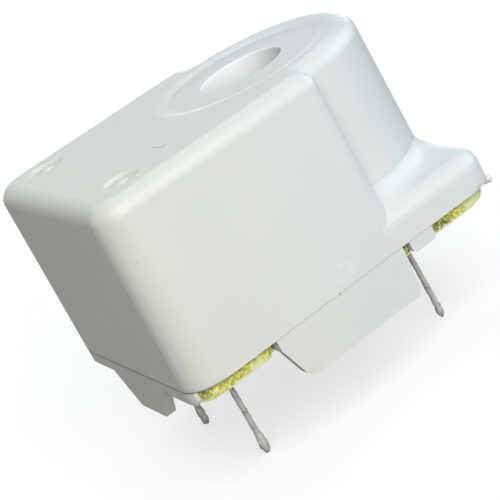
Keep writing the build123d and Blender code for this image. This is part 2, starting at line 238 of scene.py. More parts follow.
# %% [markdown]
# ## Sky and table
# The sky is white for the camera, about a third as bright in reflections, and gives hardly any
# light of its own, so the lamps alone shape the part. The table is treated alike: a glow that only
# the camera sees makes it white, while every other ray meets a grey that throws back a third of
# its light. A table that was white to all rays would fill the shades and show in the part's
# grazing reflections. A Light Path node tells the rays apart.

# %% Paint the sky
sky = bpy.data.worlds.new("studio_sky")
bpy.context.scene.world = sky
sky.use_nodes = True
backdrop = sky.node_tree.nodes["Background"]
backdrop.inputs["Color"].default_value = (0.97, 0.98, 1.0, 1)
sky_light = 0.04
sky_in_reflections = 0.35
sky_ray = add_node(sky.node_tree, "ShaderNodeLightPath", {})
mirrored = remap(
    sky.node_tree, sky_ray.outputs["Is Glossy Ray"], 0.0, 1.0, sky_light, sky_in_reflections
)
brightness = maths(sky.node_tree, "MAXIMUM", sky_ray.outputs["Is Camera Ray"], mirrored)
sky.node_tree.links.new(brightness, backdrop.inputs["Strength"])
bpy.context.scene.view_settings.view_transform = "Standard"
print("view transform:", bpy.context.scene.view_settings.view_transform)

# %% Paint the table
white, tree, shader, place = begin_material("white_board", (0.93, 0.93, 0.93), 0.9)
fibre = noise(tree, place, 300.0, 2.0)
table_ray = add_node(tree, "ShaderNodeLightPath", {})
seen = table_ray.outputs["Is Camera Ray"]
paper = mix_colours(tree, fibre, (0.42, 0.42, 0.42, 1), (0.44, 0.44, 0.44, 1))
tint(tree, shader, seen, (0.34, 0.34, 0.34, 1), paper)
glow = mix_colours(tree, seen, (0, 0, 0, 1), (0.64, 0.64, 0.64, 1))
tree.links.new(glow, shader.inputs["Emission Color"])
shader.inputs["Emission Strength"].default_value = 1.0
shader.inputs["Specular IOR Level"].default_value = 0.2
table.data.materials.append(white)
print("material:", white.name)

# %% [markdown]
# ## Effects that several finishes share
# A moulded part takes the fine grain of its steel mould. Tin goes dull in patches. Dirt sits in
# small soft spots, and so do spots of painted shade and painted light. Each of these is one group
# with named inputs, placed in a material with its own values.

# %% Group: grain of a mould
grain, grain_in, grain_out = begin_group(
    "mould_grain",
    [("Vector", "NodeSocketVector", (0, 0, 0)), ("Scale", "NodeSocketFloat", 5000.0)],
    ["Height", "Cloud"],
)
fine = noise(grain, grain_in.outputs["Vector"], grain_in.outputs["Scale"], 2.0)
cloud_scale = maths(grain, "MULTIPLY", grain_in.outputs["Scale"], 0.03)
cloud = noise(grain, grain_in.outputs["Vector"], cloud_scale, 3.0)
grain.links.new(fine, grain_out.inputs["Height"])
grain.links.new(remap(grain, cloud, 0.3, 0.7), grain_out.inputs["Cloud"])
print("group:", grain.name)

# %% Group: dull patches on metal
tarnish, tarnish_in, tarnish_out = begin_group(
    "tarnish",
    [
        ("Vector", "NodeSocketVector", (0, 0, 0)),
        ("Scale", "NodeSocketFloat", 900.0),
        ("Share", "NodeSocketFloat", 0.5),
    ],
    ["Mask", "Height"],
)
patches = noise(tarnish, tarnish_in.outputs["Vector"], tarnish_in.outputs["Scale"], 4.0, 0.6)
edge = maths(tarnish, "SUBTRACT", 1.0, tarnish_in.outputs["Share"])
upper = maths(tarnish, "ADD", edge, 0.12)
tarnish.links.new(remap(tarnish, patches, edge, upper), tarnish_out.inputs["Mask"])
tarnish.links.new(patches, tarnish_out.inputs["Height"])
print("group:", tarnish.name)

# %% Group: one soft spot at a place
spot, spot_in, spot_out = begin_group(
    "soft_spot",
    [
        ("Vector", "NodeSocketVector", (0, 0, 0)),
        ("Centre", "NodeSocketVector", (0, 0, 0)),
        ("Radius", "NodeSocketFloat", 0.001),
        ("Softness", "NodeSocketFloat", 0.3),
    ],
    ["Mask"],
)
reach = add_node(
    spot,
    "ShaderNodeVectorMath",
    {0: spot_in.outputs["Vector"], 1: spot_in.outputs["Centre"]},
    operation="DISTANCE",
).outputs["Value"]
firm = maths(spot, "SUBTRACT", 1.0, spot_in.outputs["Softness"])
inner = maths(spot, "MULTIPLY", spot_in.outputs["Radius"], firm)
faded = remap(spot, reach, inner, spot_in.outputs["Radius"], 1.0, 0.0)
spot.links.new(faded, spot_out.inputs["Mask"])
print("group:", spot.name)

# %% Helpers: several spots in one mask, and places round the chamber
def spots(tree, place, marks, softness=0.6):
    """Strongest of some soft spots, each given as x, y, z, radius in mm and its strength."""
    mask = 0.0
    for x, y, z, radius, strength in marks:
        sockets = {"Vector": place, "Centre": Vector((x, y, z)) * MM, "Radius": radius * MM}
        one = use_group(tree, spot, {**sockets, "Softness": softness}).outputs["Mask"]
        mask = maths(tree, "MAXIMUM", mask, maths(tree, "MULTIPLY", one, strength))
    return mask


def from_chamber_axis(tree, place):
    """Place measured from the chamber's axis, with its height left out."""
    centred = add_node(tree, "ShaderNodeMapping", {"Vector": place, "Location": -chamber}).outputs[0]
    level = {0: centred, 1: (1, 1, 0)}
    return add_node(tree, "ShaderNodeVectorMath", level, operation="MULTIPLY").outputs[0]


print("spot helpers ready")

# %% [markdown]
# ## Moulded plastic
# The case and its base frame are the same pale grey plastic. Its gloss is soft, because the mould
# was spark-eroded to a fine matt grain, and its colour is not quite even: a little warmer to the
# left, a little cooler to the right. The wall of the outlet is painted paler, as painted light, and
# the joint at the left end gets a dark line of painted shade. A few specks and a scuff sit where the
# part was handled, and soft dark spots of painted shade sit on the outlet's right wall and by the
# left end tab. The two mouldings share one recipe.

# %% Helpers: outlet and joint
outlet_radius = 2.8 * MM


def painted_outlet_light(tree, place):
    """Mask of painted light: 1 within reach of the outlet's wall, at any height, and 0 further out.
    """
    level = from_chamber_axis(tree, place)
    sockets = {"Vector": level, "Radius": outlet_radius + 0.1 * MM, "Softness": 0.02}
    return use_group(tree, spot, sockets).outputs["Mask"]


def joint_painted_shade(tree, x, z):
    """Mask of painted shade: a thin soft line along the rim, only at the left end."""
    from_rim = maths(tree, "ABSOLUTE", maths(tree, "SUBTRACT", z, rim))
    line = remap(tree, from_rim, 0.03 * MM, 0.09 * MM, 0.75, 0.0)
    return maths(tree, "MULTIPLY", line, remap(tree, x, -8.0 * MM, -10.0 * MM))


print("outlet radius", round(outlet_radius / MM, 2), "mm")

# %% Recipe for the moulded plastic
def moulded_plastic(name, roughness, specks_and_shade, scuffs):
    """Pale satin plastic: mould grain, painted light in the outlet, painted shade in the joint and
    in spots, specks and scuffs.
    """
    material, tree, shader, place = begin_material(name, (0.70, 0.71, 0.70), roughness)
    skin = use_group(tree, grain, {"Vector": place, "Scale": 7000.0})
    parts = add_node(tree, "ShaderNodeSeparateXYZ", {"Vector": place})
    cool = remap(tree, parts.outputs["X"], -9 * MM, 9 * MM)
    colour = mix_colours(tree, cool, (0.705, 0.712, 0.665, 1), (0.702, 0.718, 0.738, 1))
    cloudy = maths(tree, "MULTIPLY", skin.outputs["Cloud"], 0.35)
    colour = mix_colours(tree, cloudy, colour, (0.64, 0.66, 0.64, 1))
    # painted light: the outlet's wall is made paler than the rest of the plastic
    colour = mix_colours(tree, painted_outlet_light(tree, place), colour, (0.87, 0.89, 0.90, 1))
    # specks, and soft spots of painted shade, go dark brown
    colour = mix_colours(tree, spots(tree, place, specks_and_shade), colour, (0.22, 0.20, 0.16, 1))
    # painted shade: a dark line along the joint at the left end
    joint_shade = joint_painted_shade(tree, parts.outputs["X"], parts.outputs["Z"])
    colour = mix_colours(tree, joint_shade, colour, (0.20, 0.20, 0.19, 1))
    scratch = noise(tree, place, 5200.0, 4.0, 0.7)
    scratched = remap(tree, scratch, 0.45, 0.62)
    rubbed = maths(tree, "MULTIPLY", spots(tree, place, scuffs, 0.9), scratched)
    tint(tree, shader, rubbed, colour, (0.84, 0.85, 0.84, 1))
    gloss = remap(tree, skin.outputs["Cloud"], 0.0, 1.0, roughness - 0.05, roughness + 0.06)
    gloss = maths(tree, "ADD", gloss, maths(tree, "MULTIPLY", rubbed, 0.2))
    tree.links.new(gloss, shader.inputs["Roughness"])
    bump(tree, shader, skin.outputs["Height"], 0.000003)
    return material


print("recipe ready")

# %% Marks and the two plastics
# soft spots as x, y, z, radius in mm and strength: specks, a dark dot by the front gate, a dark dot
# in the joint, and painted shade on the outlet's right wall
case_specks_and_shade = [
    (-9.39, -3.18, 15.8, 0.09, 0.35),
    (-9.55, -7.40, 15.8, 0.07, 0.35),
    (-10.41, 3.70, 15.6, 0.08, 0.30),
    (-9.98, -9.20, 12.1, 0.07, 0.30),
    (-10.6, -8.77, 6.43, 0.07, 0.25),
    (5.97, -7.71, 11.3, 0.10, 0.16),
    (-8.42, -7.22, 15.75, 0.10, 0.75),
    # painted shade on the outlet's right wall
    (7.75, -0.45, 15.45, 0.13, 0.35),
    (7.78, -0.50, 15.20, 0.12, 0.30),
    (-0.24, -9.70, 3.32, 0.07, 0.80),
]
case_scuffs = [
    (0.64, -9.68, 4.8, 0.45, 0.5),
    (1.2, -9.68, 4.3, 0.6, 0.6),
    (0.1, -9.68, 4.0, 0.5, 0.4),
]
# soft spots as x, y, z, radius in mm and strength: a dark dot in the joint, a speck on the left end
# tab, and painted shade by the left end tab
frame_specks_and_shade = [
    (-0.24, -9.70, 3.24, 0.07, 0.8),
    (-11.0, 2.0, 1.0, 0.09, 0.25),
    # painted shade by the left end tab
    (-10.6, -4.3, 2.2, 0.9, 0.6),
]
frame_scuffs = [(2.4, -9.7, 0.3, 0.5, 0.4), (-11.1, 0.5, 0.2, 0.5, 0.4)]
case_plastic = moulded_plastic("case_plastic", 0.36, case_specks_and_shade, case_scuffs)
base_plastic = moulded_plastic("base_plastic", 0.40, frame_specks_and_shade, frame_scuffs)
print("plastics:", case_plastic.name, base_plastic.name)

# %% [markdown]
# ## Skins for the two mouldings
# CAD gives knife edges, and a real moulding has none: each edge is broken by a few hundredths of a
# millimetre and catches the light. A skin is a copy of the CAD mesh. Its loose triangles are first
# merged and its flat faces cleaned. Edges that need their own rounding are picked by their place
# and bevelled by hand. Then a Bevel modifier limited by angle rounds the sharp edges that are left,
# and weighted normals keep the flat faces flat.

# %% Helpers: copy and pick
def merged_copy(node, name):
    """Copy a solid's mesh as a new piece, with its triangles merged and its flat faces whole."""
    piece = bpy.data.objects.new(name, nodes[node].data.copy())
    bpy.context.scene.collection.objects.link(piece)
    select_only(piece)
    bpy.ops.mesh.customdata_custom_splitnormals_clear()
    bpy.ops.object.mode_set(mode="EDIT")
    bpy.ops.mesh.select_all(action="SELECT")
    bpy.ops.mesh.remove_doubles(threshold=0.002 * MM)
    bpy.ops.mesh.dissolve_limited(angle_limit=math.radians(0.4))
    bpy.ops.object.mode_set(mode="OBJECT")
    return piece


def pick(piece, kind, rule):
    """Enter edit mode with the points, edges or faces selected whose corners pass a rule."""
    select_only(piece)
    bpy.ops.object.mode_set(mode="EDIT")
    bpy.ops.mesh.select_mode(type=kind)
    bpy.ops.mesh.select_all(action="DESELECT")
    bpy.ops.object.mode_set(mode="OBJECT")
    mesh = piece.data
    places = [point.co.copy() for point in mesh.vertices]
    if kind == "VERT":
        for point in mesh.vertices:
            point.select = rule([places[point.index]])
    else:
        for part in mesh.edges if kind == "EDGE" else mesh.polygons:
            part.select = rule([places[i] for i in part.vertices])
    bpy.ops.object.mode_set(mode="EDIT")


print("copy and pick helpers ready")

# %% Helpers: cut, move and scale what is picked
lengthwise = Vector((1, 0, 0))
crosswise = Vector((0, 1, 0))
upright = Vector((0, 0, 1))


def everywhere(corners):
    """Rule: every point, edge or face."""
    return True


def cut_across(piece, rule, axis, places):
    """Cut the faces that pass a rule at some places along an axis."""
    pick(piece, "FACE", rule)
    bpy.ops.mesh.hide(unselected=True)
    for place in places:
        bpy.ops.mesh.select_all(action="SELECT")
        bpy.ops.mesh.bisect(plane_co=axis * place, plane_no=axis)
    bpy.ops.mesh.reveal()
    bpy.ops.object.mode_set(mode="OBJECT")


def move_points(piece, rule, shift):
    """Move the points that pass a rule."""
    pick(piece, "VERT", rule)
    bpy.ops.transform.translate(value=shift)
    bpy.ops.object.mode_set(mode="OBJECT")


def scale_points(piece, rule, factors, centre):
    """Scale the points that pass a rule about a centre."""
    pick(piece, "VERT", rule)
    bpy.ops.transform.resize(value=factors, center_override=centre)
    bpy.ops.object.mode_set(mode="OBJECT")


print("cut, move and scale helpers ready")

# %% Helpers: apply modifiers, round edges
def finish_modifiers(piece):
    """Apply every modifier of the piece, in order."""
    select_only(piece)
    for name in [modifier.name for modifier in piece.modifiers]:
        bpy.ops.object.modifier_apply(modifier=name)


def bevel_edges(piece, rule, width, segments=3):
    """Bevel the edges whose two ends pass a rule."""
    pick(piece, "EDGE", rule)
    bpy.ops.mesh.bevel(offset=width, offset_type="OFFSET", segments=segments, affect="EDGES")
    bpy.ops.object.mode_set(mode="OBJECT")


def soften_edges(piece, width):
    """Round the edges that turn by more than 28 degrees by a width in metres."""
    rounding = piece.modifiers.new("edges", "BEVEL")
    rounding.width = width
    rounding.segments = 2
    rounding.limit_method = "ANGLE"
    rounding.angle_limit = math.radians(28)
    rounding.use_clamp_overlap = True
    finish_modifiers(piece)


print("edge helpers ready")

# %% Helpers: shade and dress a piece
def flatten_faces(piece):
    """Shade smooth, with normals that follow the large faces."""
    select_only(piece)
    bpy.ops.object.shade_smooth()
    weights = piece.modifiers.new("normals", "WEIGHTED_NORMAL")
    weights.keep_sharp = True
    finish_modifiers(piece)


def dress(piece, material):
    """Give the piece one material, and let it ride on the body."""
    piece.data.materials.clear()
    piece.data.materials.append(material)
    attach(piece, "root")


print("finish helpers ready")

# %% [markdown]
# ## Case
# The top has a shallow round dish with the sound outlet in its middle, and two sunk marks where
# the plastic was injected. Their edges are soft on the real moulding, so each ring is picked by its
# distance from its own axis and rounded by its own width. The marks are made shallower than in CAD,
# and the small pip in the middle of each is sunk a little below the top.

# %% Copy the case and round the dish and the outlet
def on_ring(centre, radius, height):
    """Rule: every corner lies on a level circle, to 0.03 mm."""
    slack = 0.03 * MM

    def rule(corners):
        return all(
            abs((place.xy - centre.xy).length - radius) < slack and abs(place.z - height) < slack
            for place in corners
        )
    return rule


dish_radius = 6.05 * MM
dish_floor_radius = 5.25 * MM
dish_floor = top - 0.15 * MM
case_skin = merged_copy("case", "case_skin")
bevel_edges(case_skin, on_ring(chamber, dish_radius, top), 0.16 * MM)
bevel_edges(case_skin, on_ring(chamber, dish_floor_radius, dish_floor), 0.12 * MM)
bevel_edges(case_skin, on_ring(chamber, outlet_radius, dish_floor), 0.16 * MM)
print("case skin:", len(case_skin.data.polygons), "faces with a soft dish")

# %% Soften the gate marks, then every edge that is left
gate_radius = 1.20 * MM
pip_radius = 0.45 * MM
pip_sink = 0.07 * MM


def near_axis(centre, radius, lowest):
    """Rule: a point near an upright axis and above a height."""
    def rule(corners):
        return (corners[0].xy - centre.xy).length < radius and corners[0].z > lowest
    return rule


for gate_y in (-6.3, 6.3):
    gate = Vector((-7.55, gate_y, 0)) * MM
    in_mark = near_axis(gate, gate_radius - 0.1 * MM, rim)
    scale_points(case_skin, in_mark, (1, 1, 0.6), (gate.x, gate.y, top))
    on_pip = near_axis(gate, pip_radius + 0.05 * MM, top - 0.02 * MM)
    move_points(case_skin, on_pip, (0, 0, -pip_sink))
    bevel_edges(case_skin, on_ring(gate, gate_radius, top), 0.14 * MM)
    bevel_edges(case_skin, on_ring(gate, pip_radius, top - pip_sink), 0.08 * MM)
soften_edges(case_skin, 0.05 * MM)
print("case skin:", len(case_skin.data.polygons), "faces")

# %% [markdown]
# ## Root of the sound chamber
# The ledge at the foot of the chamber does not meet the wall in a corner. The mould was rounded
# there, so the ledge climbs the wall in a hollow curve that dies out after a millimetre and a half.
# The ledge is first cut into a grid. Then a vertex group says how far each point climbs, and a
# Displace modifier lifts them. Near the middle of the right end the wall leaves no room for the
# curve, so it fades out there.

# %% Cut the ledge into a grid
ledge_top = rim + 2.35 * MM
wall_radius = 7.9 * MM
grid_step = 0.25


def on_ledge(corners):
    """Rule: a face of the ledge's top or of its rounding, outside the chamber's wall."""
    return all(
        rim + 1.7 * MM < place.z < ledge_top + 0.12 * MM
        and (place.xy - chamber.xy).length > wall_radius - 0.12 * MM
        for place in corners
    )


cuts_in_x = [(5.6 + grid_step * step) * MM for step in range(29)]
cuts_in_y = [(grid_step * step - 9.5) * MM for step in range(77)]
cut_across(case_skin, on_ledge, lengthwise, cuts_in_x)
cut_across(case_skin, on_ledge, crosswise, cuts_in_y)
print("case skin:", len(case_skin.data.polygons), "faces with the ledge's grid")

# %% Say how far each point of the ledge climbs
root_climb = 1.25 * MM
root_reach = 1.5 * MM
fade_start = 2.2
fade_width = 2.4


def climb_share(place):
    """Share of the full climb: a quarter circle towards the wall, faded out near y = 0."""
    gap = max(0.0, (place.xy - chamber.xy).length - wall_radius)
    widen = min(1.0, max(0.0, (abs(place.y) / MM - fade_start) / fade_width))
    share = widen * widen * (3 - 2 * widen)
    inward = max(0.0, 1.0 - gap / root_reach)
    return share * (1.0 - math.sqrt(1.0 - inward * inward))


case_points = case_skin.data.vertices
ledge_points = {
    index
    for face in case_skin.data.polygons
    if on_ledge([case_points[i].co for i in face.vertices])
    for index in face.vertices
}
root = case_skin.vertex_groups.new(name="root")
for index in ledge_points:
    root.add([index], climb_share(case_points[index].co), "REPLACE")
print("ledge:", len(ledge_points), "points")

# %% Lift the ledge and dress the case
lift = case_skin.modifiers.new("root", "DISPLACE")
lift.direction = "Z"
lift.strength = root_climb
lift.mid_level = 0.0
lift.vertex_group = "root"
finish_modifiers(case_skin)
flatten_faces(case_skin)
dress(case_skin, case_plastic)
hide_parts("case")
print("case skin:", len(case_skin.data.polygons), "faces, ledge lifted")

# %% [markdown]
# ## Base frame
# The frame is a second moulding that snaps into the case from below. It never closes quite tight,
# so its top is lowered by a few hundredths of a millimetre, which leaves the fine dark line of a
# joint. The ends of its lips are rounded more than its other edges.

# %% Skin of the base frame
base_skin = merged_copy("base_frame", "base_skin")
lip_low = rim - 0.86 * MM
joint_gap = 0.022 * MM


def at_lip_end(corners, axis, ends):
    """Whether an edge lies on the underside of a lip, at one of its ends along an axis."""
    level = all(abs(place.z - lip_low) < 0.02 * MM for place in corners)
    return level and any(
        all(abs(place[axis] - end) < 0.02 * MM for place in corners) for end in ends
    )


def on_long_end(corners):
    """Rule: a lower edge across the end of a lip on the front or the back."""
    outside = all(abs(place.y) > 7.6 * MM for place in corners)
    return outside and at_lip_end(corners, 0, (5.35 * MM, 7.20 * MM))


def on_short_end(corners):
    """Rule: a lower edge across the end of the lip on the left."""
    outside = all(place.x < -8 * MM for place in corners)
    return outside and at_lip_end(corners, 1, (-8.55 * MM, 8.55 * MM))


bevel_edges(base_skin, on_long_end, 0.30 * MM, 4)
bevel_edges(base_skin, on_short_end, 0.45 * MM, 5)
move_points(base_skin, lambda corners: abs(corners[0].z - rim) < 0.005 * MM, (0, 0, -joint_gap))
soften_edges(base_skin, 0.06 * MM)
flatten_faces(base_skin)
dress(base_skin, base_plastic)
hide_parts("base_frame")
print("base skin:", len(base_skin.data.polygons), "faces")

# %% [markdown]
# ## Gate stub and hair
# Where the frame's runner was snapped off, a short stub of plastic stays at the corner of the case.
# It is a thin cylinder whose outer end is rounded, and a cloud texture pushes its skin in and out,
# as a break is uneven. A short curly hair lies on the top. It is a spline with a round bevel,
# turned into a mesh.

# %% The stub
stub_root = Vector((12.44, -8.36, 3.06)) * MM
stub_aim = Vector((0.90, -0.42, -0.06)).normalized()
stub_length = 0.62 * MM
stub_end = stub_root + stub_aim * stub_length


def on_stub_end(corners):
    """Rule: an edge of the stub's outer end."""
    return all(abs((place - stub_end).dot(stub_aim)) < 0.02 * MM for place in corners)


bpy.ops.object.select_all(action="DESELECT")
bpy.ops.mesh.primitive_cylinder_add(
    vertices=20,
    radius=0.27 * MM,
    depth=stub_length,
    location=stub_root + stub_aim * (stub_length / 2),
    rotation=stub_aim.to_track_quat("Z", "Y").to_euler(),
)
stub = bpy.context.object
stub.name = "gate_stub"
bpy.ops.object.transform_apply(location=True, rotation=True, scale=True)
bevel_edges(stub, on_stub_end, 0.17 * MM)
print("stub:", len(stub.data.polygons), "faces, not torn yet")

# %% Tear its skin
torn = bpy.data.textures.new("torn_plastic", "CLOUDS")
torn.noise_scale = 0.25 * MM
tear = stub.modifiers.new("tear", "DISPLACE")
tear.texture = torn
tear.texture_coords = "LOCAL"
tear.strength = 0.08 * MM
finish_modifiers(stub)
bpy.ops.object.shade_smooth_by_angle(angle=math.radians(50))
dress(stub, base_plastic)
print("stub:", len(stub.data.polygons), "faces")

# %% The hair
def round_line(name, line, height, radius, roundness):
    """Round spline along points at one height, given as x and y in mm, not yet a mesh."""
    bpy.ops.object.select_all(action="DESELECT")
    bpy.ops.curve.primitive_nurbs_path_add(location=(0, 0, 0))
    piece = bpy.context.object
    piece.name = name
    for point, (x, y) in zip(piece.data.splines[0].points, line):
        point.co = (x * MM, y * MM, height, 1.0)
    piece.data.bevel_depth = radius
    piece.data.bevel_resolution = roundness
    piece.data.use_fill_caps = True
    return piece


curl = [(-4.28, -4.53), (-4.12, -4.94), (-4.26, -5.36), (-4.04, -5.78), (-3.72, -5.58)]
hair = round_line("stray_hair", curl, top + 0.012 * MM, 0.014 * MM, 1)
bpy.ops.object.convert(target="MESH")
keratin, tree, shader, place = begin_material("hair", (0.30, 0.29, 0.26), 0.6)
strand = noise(tree, place, 4000.0, 2.0)
tint(tree, shader, strand, (0.30, 0.29, 0.27, 1), (0.52, 0.51, 0.48, 1))
dress(hair, keratin)
print("hair:", len(hair.data.polygons), "faces")

# %% [markdown]
# ## Circuit board
# The board is a cheap yellow laminate that was broken out of its panel, so its edge is rough and
# grainy: bright where fibres stand out and pale where it is worn or frayed. Painted shade darkens
# the edge to brown along the upper side, under the case, and to dark olive where it meets a tab or
# a lip. Its faces are smooth. The grain is a fine noise, and the ragged edge is real: the side faces
# are divided and pushed in and out by two cloud textures. The lowest points are then pressed level
# again, so that the underside stays flat.

# %% Where the edge gets painted shade and where it is worn pale
# painted shade where the edge meets a tab or a lip
shaded_marks = [
    (8.0, -9.4, 2.9, 1.2, 0.95),
    (-10.4, -8.9, 3.1, 0.6, 0.80),
    (-5.5, -9.4, 3.2, 0.5, 0.60),
    (5.0, -9.3, 2.9, 1.0, 1.0),
]
worn_marks = [
    (10.9, -9.2, 2.8, 1.4, 0.85),
    (12.4, -7.8, 2.8, 1.5, 0.85),
    (-6.6, -9.4, 2.6, 0.7, 0.6),
]
print("marks on the edge:", len(shaded_marks), "crushed,", len(worn_marks), "worn")

# %% Laminate
laminate, tree, shader, place = begin_material("board_laminate", (0.60, 0.58, 0.12), 0.75)
level = add_node(tree, "ShaderNodeSeparateXYZ", {"Vector": place}).outputs["Z"]
grains = noise(tree, place, 5200.0, 4.0, 0.65)
blotches = noise(tree, place, 1300.0, 3.0, 0.6)
bright = remap(tree, grains, 0.40, 0.58)
colour = mix_colours(tree, bright, (0.36, 0.34, 0.09, 1), (0.78, 0.76, 0.17, 1))
pale = maths(tree, "MULTIPLY", remap(tree, blotches, 0.50, 0.66), 0.7)
colour = mix_colours(tree, pale, colour, (0.74, 0.77, 0.42, 1))
# painted shade: the upper side of the edge, under the case, goes brown
under_case_mask = remap(tree, level, board_high.z - 0.26 * MM, board_high.z - 0.04 * MM)
shade_under_case = maths(tree, "MULTIPLY", under_case_mask, remap(tree, grains, 0.62, 0.44))
colour = mix_colours(tree, shade_under_case, colour, (0.13, 0.095, 0.04, 1))
# painted shade: dark olive where the edge meets a tab or a lip
shaded = spots(tree, place, shaded_marks, 0.8)
shaded = maths(tree, "MULTIPLY", shaded, remap(tree, grains, 0.66, 0.46))
colour = mix_colours(tree, shaded, colour, (0.10, 0.11, 0.03, 1))
worn = spots(tree, place, worn_marks, 0.8)
colour = mix_colours(tree, worn, colour, (0.74, 0.77, 0.42, 1))
frayed = remap(tree, level, board_low.z + 0.16 * MM, board_low.z + 0.02 * MM, 0.0, 0.7)
colour = mix_colours(tree, frayed, colour, (0.72, 0.76, 0.46, 1))
underside = remap(tree, level, board_low.z + 0.02 * MM, board_low.z + 0.005 * MM)
resin = mix_colours(tree, blotches, (0.36, 0.33, 0.16, 1), (0.46, 0.43, 0.22, 1))
tint(tree, shader, underside, colour, resin)
tree.links.new(remap(tree, grains, 0.2, 0.8, 0.6, 0.85), shader.inputs["Roughness"])
bump(tree, shader, grains, 0.00003)
print("material:", laminate.name)

# %% Cut the board's edge into rows and short runs
board = merged_copy("circuit_board", "board_broken_edge")
thickness = board_high.z - board_low.z
rows = [board_low.z + share * thickness for share in (0.14, 0.28, 0.42, 0.56, 0.70, 0.85)]
cut_across(board, everywhere, upright, rows)
longest_run = 0.3 * MM
halvings = 7


def level_run(corners):
    """Rule: a level edge that is too long to look broken."""
    first, second = corners
    return abs(first.z - second.z) < 0.01 * MM and (first - second).length > longest_run


for _ in range(halvings):
    pick(board, "EDGE", level_run)
    bpy.ops.mesh.subdivide(number_cuts=1)
    bpy.ops.object.mode_set(mode="OBJECT")
print("board:", len(board.data.vertices), "points")

# %% Pull in the right corners and break out a nick
def on_right_corner(corners):
    """Rule: a point of one of the board's two corners on the right."""
    return corners[0].x > 10.9 * MM and abs(corners[0].y) > 6.2 * MM


def beside_tab(corners):
    """Rule: the board's front edge just left of the front tab, where a nick was broken out."""
    return nick_left < corners[0].x < nick_right and corners[0].y < -8.7 * MM


nick_left = -5.62 * MM
nick_right = -4.7 * MM
nick_depth = 0.55 * MM
move_points(board, on_right_corner, (-0.17 * MM, 0, 0))
move_points(board, beside_tab, (0, nick_depth, 0))
print("nick:", round((nick_right - nick_left) / MM, 2), "by", round(nick_depth / MM, 2), "mm")

# %% Find the outer edge
hole_margin = 0.8 * MM
wires = [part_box(name) for name in nodes if name.startswith(("pin_", "coil_pin", "transistor_leg"))]
hole_centres = [(low + high) / 2 for low, high in wires if low.z < board_high.z - 0.1 * MM]
board_points = board.data.vertices
edge_points = {i for face in board.data.polygons if abs(face.normal.z) < 0.5 for i in face.vertices}
outer_points = [
    index
    for index in edge_points
    if all((board_points[index].co.xy - hole.xy).length > hole_margin for hole in hole_centres)
]
print("outer edge:", len(outer_points), "points, clear of", len(hole_centres), "holes")

# %% Break the edge
rough = board.vertex_groups.new(name="rough_edge")
rough.add(outer_points, 1.0, "REPLACE")
for name, size, depth in (("bites", 0.55, 0.11), ("fibres", 0.14, 0.13)):
    texture = bpy.data.textures.new(name, "CLOUDS")
    texture.noise_scale = size * MM
    texture.noise_depth = 2
    ragged = board.modifiers.new(name, "DISPLACE")
    ragged.texture = texture
    ragged.texture_coords = "LOCAL"
    ragged.vertex_group = "rough_edge"
    ragged.strength = depth * MM
    ragged.mid_level = 0.6
finish_modifiers(board)
board_bottom = (0, 0, board_low.z)
scale_points(board, lambda corners: corners[0].z < board_low.z + 0.07 * MM, (1, 1, 0), board_bottom)
bpy.ops.object.shade_smooth_by_angle(angle=math.radians(40))
flatten_faces(board)
dress(board, laminate)
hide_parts("circuit_board")
print("board:", len(board.data.polygons), "faces")

# %% [markdown]
# ## Pins and their solder
# Each pin is a tinned wire. Dipping leaves the coat uneven, with a rough bead frozen at the tip,
# and the solder climbs the root in a hollow curve. One pin is modelled from a cylinder whose rings
# are scaled one by one. The four pins are copies of it, each turned and leaned a little and with a
# bead of its own size. The solder joints are made in the same way, without the lean.

# %% Tin
tin, tree, shader, place = begin_material("tinned_wire", (0.42, 0.42, 0.40), 0.5, 0.4)
coat = use_group(tree, tarnish, {"Vector": place, "Scale": 3600.0, "Share": 0.45})
tint(tree, shader, coat.outputs["Mask"], (0.66, 0.66, 0.62, 1), (0.38, 0.38, 0.35, 1))
vary_gloss(tree, shader, coat.outputs["Height"], 0.42, 0.66)
bump(tree, shader, coat.outputs["Height"], 0.00004)
print("material:", tin.name)

# %% Solder
solder, tree, shader, place = begin_material("solder", (0.66, 0.67, 0.67), 0.28, 0.9)
crystals = use_group(tree, tarnish, {"Vector": place, "Scale": 3200.0, "Share": 0.4})
tint(tree, shader, crystals.outputs["Mask"], (0.70, 0.71, 0.71, 1), (0.50, 0.51, 0.51, 1))
vary_gloss(tree, shader, crystals.outputs["Height"], 0.2, 0.42)
bump(tree, shader, crystals.outputs["Height"], 0.00001)
print("material:", solder.name)

# %% Helpers: rings on a round post
def scale_ring(piece, height, axis, factor):
    """Scale the ring at a height about an upright axis."""
    def rule(corners):
        return abs(corners[0].z - height) < 0.005 * MM
    scale_points(piece, rule, (factor, factor, 1), (axis.x, axis.y, height))


def round_post(name, axis, low, high, radius, sides=24):
    """Upright cylinder between two heights, with its place in its mesh."""
    bpy.ops.object.select_all(action="DESELECT")
    bpy.ops.mesh.primitive_cylinder_add(
        vertices=sides, radius=radius, depth=high - low, location=(axis.x, axis.y, (low + high) / 2)
    )
    piece = bpy.context.object
    piece.name = name
    bpy.ops.object.transform_apply(location=True, rotation=True, scale=True)
    return piece


print("ring helpers ready")

# %% One pin
pin_low, pin_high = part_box("pin_front_left")
pin_axis = (pin_low + pin_high) / 2
pin_radius = (pin_high.x - pin_low.x) / 2
pin = round_post("pin", pin_axis, pin_low.z, pin_high.z, pin_radius)
# height above the tip in mm, and the ring's size there
swell = {
    0.07: 0.72, 0.18: 1.02, 0.38: 1.26, 0.65: 1.20, 0.90: 1.30, 1.15: 1.06, 1.35: 0.98,
    1.60: 0.86, 2.20: 0.90, 3.00: 0.82, 3.90: 0.86, 4.80: 0.82, 5.60: 0.82, 6.20: 0.86,
}
cut_across(pin, everywhere, upright, [pin_low.z + rise * MM for rise in swell])
for rise, factor in swell.items():
    scale_ring(pin, pin_low.z + rise * MM, pin_axis, factor)
scale_ring(pin, pin_low.z, pin_axis, 0.40)
print("pin:", len(pin.data.vertices), "points, radius", round(pin_radius / MM, 2), "mm")

